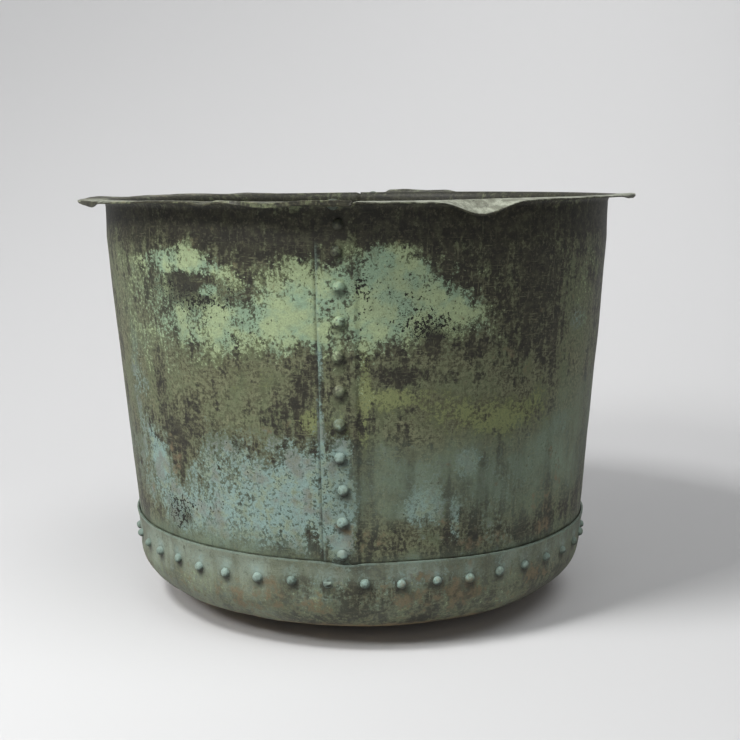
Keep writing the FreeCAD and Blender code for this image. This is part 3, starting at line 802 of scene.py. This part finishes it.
# -------- patina material
class Nodes:
    """Short names for the shader nodes that the patina uses."""

    def __init__(self, material):
        material.use_nodes = True
        self.tree = material.node_tree
        self.shader = self.tree.nodes["Principled BSDF"]
        self.place = self.node("TexCoord").outputs["Object"]

    def link(self, source, target):
        """Set an input from an output or a plain value."""
        if isinstance(source, (int, float)):
            target.default_value = source
        elif isinstance(source, tuple):
            target.default_value = (*source, 1.0)[: len(target.default_value)]
        else:
            self.tree.links.new(source, target)

    def node(self, kind, inputs=None):
        """New shader node of a kind, with some of its inputs set."""
        made = self.tree.nodes.new("ShaderNode" + kind)
        for socket, source in (inputs or {}).items():
            self.link(source, made.inputs[socket])
        return made

    def attribute(self, name):
        """The node that reads an attribute of the mesh."""
        read = self.node("Attribute")
        read.attribute_name = name
        return read

    def channels(self, name):
        """The three channels of a colour attribute."""
        split = self.node("SeparateColor", {0: self.attribute(name).outputs["Color"]})
        return split.outputs[0], split.outputs[1], split.outputs[2]

    def scalar(self, name):
        """A plain number attribute."""
        return self.attribute(name).outputs["Fac"]

    def noise(self, size, detail, roughness, stretch=1.0, shift=0.0):
        """Noise from 0 to 1 with lumps of a size in metres, stretched up the wall."""
        move = self.node("Mapping", {
            "Vector": self.place,
            "Location": (shift, shift * 1.7, shift * 0.6),
            "Scale": (1.0, 1.0, 1.0 / stretch),
        })
        made = self.node("TexNoise", {
            "Vector": move.outputs[0], "Scale": 1.0 / size, "Detail": detail, "Roughness": roughness,
        })
        return made.outputs[0]

    def cells(self, size, shift):
        """Distance to the nearest of many scattered points, in cells."""
        move = self.node("Mapping", {"Vector": self.place, "Location": (shift, shift, shift)})
        made = self.node("TexVoronoi", {"Vector": move.outputs[0], "Scale": 1.0 / size})
        return made.outputs["Distance"]

    def maths(self, operation, *values):
        """One arithmetic step."""
        made = self.node("Math", dict(enumerate(values)))
        made.operation = operation
        return made.outputs[0]

    def chain(self, operation, values):
        """One operation on any number of values."""
        total = values[0]
        for value in values[1:]:
            total = self.maths(operation, total, value)
        return total

    def add(self, *values):
        """Sum of the values."""
        return self.chain("ADD", values)

    def ramp(self, value, low, high, out_low=0.0, out_high=1.0):
        """Smooth step from low to high."""
        made = self.node("MapRange", {
            "Value": value, "From Min": low, "From Max": high, "To Min": out_low, "To Max": out_high,
        })
        made.interpolation_type = "SMOOTHSTEP"
        return made.outputs[0]

    def mix(self, share, first, second):
        """Colour between two colours, each from a node or as red, green and blue up to 255."""
        made = self.node("Mix")
        made.data_type = "RGBA"
        for socket, source in ((0, share), (6, first), (7, second)):
            self.link(srgb(*source) if isinstance(source, tuple) else source, made.inputs[socket])
        return made.outputs[2]

    def lay(self, below, above, *shares):
        """A colour with another laid over it, by the product of the shares."""
        return self.mix(self.chain("MULTIPLY", shares), below, above)


def srgb(red, green, blue):
    """Linear colour from 0 to 255 screen values."""
    def linear(value):
        value /= 255
        return value / 12.92 if value <= 0.04045 else ((value + 0.055) / 1.055) ** 2.4
    return tuple(linear(value) for value in (red, green, blue))


def patina(name, veil_dark, veil_light):
    """Layers of oxide, olive film and crusts, broken up by fine noise, under a thin even veil."""
    material = bpy.data.materials.new(name)
    n = Nodes(material)
    pale, teal, lime = n.channels("growth")
    black, brown, pits = n.channels("wear")
    film, haze, inside = n.channels("veil")

    coarse = n.noise(0.030, 4, 0.60)
    medium = n.noise(0.009, 4, 0.65, shift=3.1)
    fine = n.noise(0.0034, 3, 0.70, shift=7.7)
    grain = n.noise(0.0012, 2, 0.6, shift=1.3)
    streaks = n.noise(0.008, 5, 0.65, stretch=9, shift=5.2)
    wide_streaks = n.noise(0.032, 5, 0.6, stretch=7, shift=9.4)
    crackle = n.cells(0.0045, shift=2.2)

    def spread(value, strength):
        """Noise about zero, in the units that the layers' shares use."""
        return n.maths("MULTIPLY_ADD", value, strength, -0.5 * strength)

    broad = n.add(spread(coarse, 1.6), spread(wide_streaks, 0.8))
    flecks = n.add(spread(medium, 1.2), spread(fine, 2.0), spread(grain, 0.7))
    uneven = n.add(broad, flecks, spread(streaks, 1.0))
    ragged = spread(fine, 1.2)

    def cover(amount, low, high, extra):
        """Where a layer lies: its share of the surface, eaten into by noise."""
        level = n.add(amount, uneven, n.maths("MULTIPLY_ADD", black, -0.6, extra))
        return n.maths("MULTIPLY", n.ramp(level, low, high), n.ramp(amount, 0.0, 0.1))

    def crust(below, amount, body, flakes):
        """A soft body with hard flakes over it, which a dark broken edge surrounds.

        body and flakes say the level where each starts, where it is full, its strength and its
        colour. The share of the flakes is given back with the colour.
        """
        low, high, strength, tint = body
        laid = n.lay(below, tint, cover(amount, low, high, 0.0), strength)
        low, high, strength, tint = flakes
        laid = n.lay(laid, (48, 46, 34), cover(amount, low - 0.22, low - 0.04, ragged), 0.38)
        flake = cover(amount, low, high, ragged)
        return n.lay(laid, tint, flake, strength), flake

    # dark oxide, from brown-black to grey
    oxide = n.mix(n.ramp(medium, 0.38, 0.62), (31, 30, 21), (51, 49, 36))
    oxide = n.lay(oxide, (82, 78, 62), n.ramp(fine, 0.50, 0.70, 0.0, 0.8))

    # olive film, mostly in upright streaks, with light hairlines and flecks
    film_level = n.add(
        n.maths("MULTIPLY_ADD", black, -0.75, film), spread(streaks, 2.6), spread(fine, 1.8),
        spread(wide_streaks, 2.0), spread(medium, 1.6), spread(coarse, 1.8),
    )
    film_colour = n.mix(n.ramp(fine, 0.40, 0.62), (76, 77, 55), (116, 119, 90))
    film_colour = n.lay(film_colour, (92, 104, 74), n.ramp(coarse, 0.40, 0.62, 0.0, 0.5))
    colour = n.lay(oxide, film_colour, n.ramp(film_level, 0.05, 0.85, 0.0, 0.95))
    level_lines = n.noise(0.016, 3, 0.6, stretch=0.07, shift=4.4)
    upright_lines = n.noise(0.0022, 3, 0.6, stretch=18, shift=6.6)
    lines = n.maths("MAXIMUM", n.ramp(level_lines, 0.60, 0.70), n.ramp(upright_lines, 0.62, 0.72))
    colour = n.lay(colour, (132, 134, 102), lines, n.ramp(film, 0.1, 0.6, 0.1, 0.5))
    fleck_level = n.add(flecks, spread(wide_streaks, 1.6), spread(streaks, 1.4))
    fleck_here = n.ramp(n.maths("MULTIPLY_ADD", black, -0.15, fleck_level), 0.50, 0.66, 0.0, 0.7)
    colour = n.lay(colour, (128, 137, 104), fleck_here)

    # yellow-green, blue-green and pale crusts
    colour, lime_flake = crust(
        colour, lime, (0.25, 0.75, 0.75, (104, 108, 68)), (0.56, 0.66, 0.62, (134, 143, 96))
    )
    teal_body = n.mix(n.ramp(wide_streaks, 0.4, 0.62), (92, 112, 98), (118, 138, 126))
    teal_light = n.mix(n.ramp(medium, 0.45, 0.65), (136, 162, 156), (148, 164, 142))
    teal_light = n.lay(teal_light, (124, 122, 114), n.ramp(coarse, 0.50, 0.64, 0.0, 0.7))
    colour, teal_flake = crust(colour, teal, (0.20, 0.75, 0.85, teal_body), (0.60, 0.72, 0.75, teal_light))
    pale_body = n.mix(n.ramp(coarse, 0.42, 0.6), (110, 126, 98), (126, 138, 98))
    pale_light = n.mix(n.ramp(coarse, 0.40, 0.58), (144, 172, 145), (164, 181, 140))
    pale_light = n.lay(pale_light, (184, 200, 158), n.ramp(fine, 0.56, 0.74))
    colour, pale_flake = crust(colour, pale, (0.15, 0.70, 0.85, pale_body), (0.52, 0.62, 0.72, pale_light))
    mottle = n.add(spread(medium, 2.2), spread(fine, 1.6), spread(streaks, 1.2))
    colour = n.lay(colour, (84, 88, 64), n.ramp(mottle, -0.05, 0.75, 0.0, 0.48))

    # thin haze, with darker and lighter stains in it
    haze_colour = n.mix(n.ramp(wide_streaks, 0.40, 0.6), veil_dark, veil_light)
    haze_colour = n.lay(haze_colour, (88, 88, 70), n.ramp(fine, 0.45, 0.7, 0.0, 0.3))
    colour = n.lay(colour, haze_colour, haze, n.ramp(coarse, 0.35, 0.65, 0.6, 1.0))
    stain = n.add(spread(medium, 2.2), spread(fine, 2.0), spread(streaks, 1.8))
    colour = n.lay(colour, (62, 62, 46), n.ramp(stain, 0.0, 0.9), n.ramp(haze, 0.1, 0.6, 0.0, 0.5))
    colour = n.lay(colour, (140, 158, 144), n.ramp(stain, -0.2, -0.9), n.ramp(haze, 0.1, 0.6, 0.0, 0.35))

    rim = n.scalar("rim")
    rim_level = n.add(rim, broad, spread(fine, 1.5))
    rim_colour = n.mix(n.ramp(medium, 0.4, 0.62), (112, 114, 100), (158, 162, 146))
    colour = n.lay(colour, rim_colour, n.ramp(rim_level, 0.3, 0.8), rim)

    # black pits that break the crusts, then brown wear
    pit_level = n.add(spread(fine, 3.0), spread(medium, 1.0))
    pit_here = n.ramp(n.maths("MULTIPLY_ADD", pits, 0.7, pit_level), 0.62, 0.72)
    colour = n.lay(colour, (34, 34, 28), pit_here)
    worn = n.add(brown, spread(coarse, 1.6), spread(medium, 1.6))
    brown_colour = n.mix(n.ramp(medium, 0.4, 0.62), (70, 62, 44), (112, 98, 74))
    colour = n.lay(colour, brown_colour, n.ramp(worn, 0.35, 0.75, 0.0, 0.8))

    # last: fine grain, the dull inside, and the marks that follow edges, rivets and the foot
    colour = n.lay(colour, (44, 46, 38), n.ramp(grain, 0.35, 0.7, 0.0, 0.25))
    colour = n.lay(colour, (40, 42, 38), inside, 0.35)
    for mark, tint, share in (
        # edge: pale patina line and painted highlight on the cut edges and the lip
        ("edge", (118, 138, 128), n.ramp(medium, 0.35, 0.55, 0.1, 0.5)),
        # groove: dark crevice line, partly dirt and partly painted shade
        ("groove", (40, 38, 30), n.ramp(medium, 0.35, 0.6, 0.75, 0.35)),
        ("bloom", (138, 160, 154), n.ramp(uneven, -0.4, 0.5, 0.1, 0.75)),
        ("rub", (160, 138, 104), n.ramp(medium, 0.35, 0.6, 0.4, 0.85)),
        # painted shade on the rivet heads and painted shadow on the wall below the rivets
        ("painted_rivet_shade", (36, 34, 25), n.ramp(medium, 0.35, 0.65, 0.95, 0.6)),
    ):
        colour = n.lay(colour, tint, n.scalar(mark), share)
    n.link(colour, n.shader.inputs["Base Color"])

    crusted = n.maths("MAXIMUM", n.maths("MAXIMUM", pale_flake, teal_flake), lime_flake)
    n.link(n.ramp(crusted, 0, 1, 0.58, 0.88), n.shader.inputs["Roughness"])
    n.shader.inputs["Specular IOR Level"].default_value = 0.35

    relief = 0.0
    for source, share in ((crusted, 0.6), (fine, 0.5), (grain, 0.25), (pit_here, -0.6), (crackle, 0.15)):
        relief = n.maths("MULTIPLY_ADD", source, share, relief)
    bump = n.node("Bump", {"Strength": 0.7, "Distance": 0.0008, "Height": relief})
    n.link(bump.outputs[0], n.shader.inputs["Normal"])
    return material


# -------- the pieces
wall_patina = patina("wall_patina", (88, 100, 84), (112, 128, 108))
pan_patina = patina("pan_patina", (114, 121, 102), (136, 147, 131))
rivet_patina = patina("rivet_patina", (112, 128, 116), (138, 156, 146))
LOOKS = {"wall_copper": wall_patina, "pan_copper": pan_patina, "rivet_copper": rivet_patina}
PIECES = [
    (wall_sheet("copper_wall_right", FRONT_BUTT), "wall_sheet_right", "wall_copper"),
    (wall_sheet("copper_wall_left", FRONT_BUTT + 180), "wall_sheet_left", "wall_copper"),
    (base_pan("copper_base_pan"), "base_pan", "pan_copper"),
    (base_rivets("copper_base_rivets"), "base_seam_rivets", "rivet_copper"),
    (seam_rivets("copper_front_rivets", FRONT_BUTT, 11), "front_seam_rivets", "rivet_copper"),
    (seam_rivets("copper_rear_rivets", FRONT_BUTT + 180, 23), "rear_seam_rivets", "rivet_copper"),
    (rim_rivets("copper_rim_rivets"), "rim_lap_rivets", "rivet_copper"),
]
for piece, node, slot in PIECES:
    paint_regions(piece, 0.45 if slot == "rivet_copper" else 0.0)
    piece.data.materials.append(LOOKS[slot])
    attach(piece, "root")
    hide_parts(node)


# -------- stage, light and camera
def plain_material(name, colour, roughness):
    """Even matte material for the stage."""
    material = bpy.data.materials.new(name)
    material.use_nodes = True
    shader = material.node_tree.nodes["Principled BSDF"]
    shader.inputs["Base Color"].default_value = (*colour, 1)
    shader.inputs["Roughness"].default_value = roughness
    shader.inputs["Specular IOR Level"].default_value = 0.1
    return material


def make_stage():
    """Pale floor that curves up into a backdrop."""
    half_width, front, wall_back, sweep, top = 6.0, -6.0, 1.6, 1.1, 5.0
    profile = [(front, 0.0), (wall_back - sweep, 0.0)]
    for turn in np.linspace(0, math.pi / 2, 17)[1:]:
        profile.append((wall_back - sweep + sweep * math.sin(turn), sweep * (1 - math.cos(turn))))
    profile.append((wall_back, top))
    points = [(x, y, z) for y, z in profile for x in (-half_width, half_width)]
    stage = make_object("stage", points, grid_faces(len(profile), 2))
    stage.data.materials.append(plain_material("stage_paper", (0.56, 0.56, 0.562), 0.9))


def add_light(name, kind, place, aim):
    """Light of a kind at a place that shines along aim."""
    data = bpy.data.lights.new(name, kind)
    item = add_object(name, data)
    item.location = place
    item.rotation_euler = Vector(aim).to_track_quat("-Z", "Y").to_euler()
    return data


def area_light(name, place, target, size, power, spread=180):
    """Soft square light that faces a point."""
    data = add_light(name, "AREA", place, np.array(target) - np.array(place))
    data.shape = "SQUARE"
    data.size = size
    data.energy = power
    data.spread = math.radians(spread)


def soft_sun(name, direction, strength, width):
    """Light from a far, wide source in a direction, which lights the whole floor evenly."""
    data = add_light(name, "SUN", direction, [-part for part in direction])
    data.energy = strength
    data.angle = math.radians(width)


def make_world():
    """Weak even light from all sides, and a pale surround beyond the stage's edge."""
    world = bpy.data.worlds.new("world")
    bpy.context.scene.world = world
    world.use_nodes = True
    tree = world.node_tree
    glow = tree.nodes["Background"]
    glow.inputs["Color"].default_value = (0.9, 0.92, 0.95, 1)
    glow.inputs["Strength"].default_value = 0.18
    surround = tree.nodes.new("ShaderNodeBackground")
    surround.inputs["Color"].default_value = (1, 1, 1, 1)
    surround.inputs["Strength"].default_value = 0.66
    path = tree.nodes.new("ShaderNodeLightPath")
    choose = tree.nodes.new("ShaderNodeMixShader")
    tree.links.new(path.outputs["Is Camera Ray"], choose.inputs[0])
    tree.links.new(glow.outputs[0], choose.inputs[1])
    tree.links.new(surround.outputs[0], choose.inputs[2])
    tree.links.new(choose.outputs[0], tree.nodes["World Output"].inputs["Surface"])


def make_camera():
    """Camera in front, a little above the rim."""
    data = bpy.data.cameras.new("camera")
    data.sensor_width = 36.0
    data.lens = 61.36
    item = add_object("camera", data)
    item.location = (0, -1.4079, PAN_EDGE + 0.362)
    item.rotation_euler = (math.radians(90 - 8.664), 0, -0.0077)
    bpy.context.scene.camera = item


make_stage()
area_light("key", (-1.62, -1.46, 1.70), (0, 0, 0.2), 0.5, 5.2, 70)
area_light("high_key", (-1.16, -0.97, 2.24), (0, 0, 0.1), 0.5, 48)
soft_sun("overhead", (0.9, -0.9, 3.2), 1.15, 40)
area_light("front_fill", (0.8, -3.0, 1.2), (0, 0, 0.2), 1.6, 6)
area_light("backdrop_wash", (0.7, 0.7, 1.5), (0.6, 1.6, 1.3), 1.0, 6)
make_world()
bpy.context.scene.view_settings.view_transform = "Standard"
make_camera()
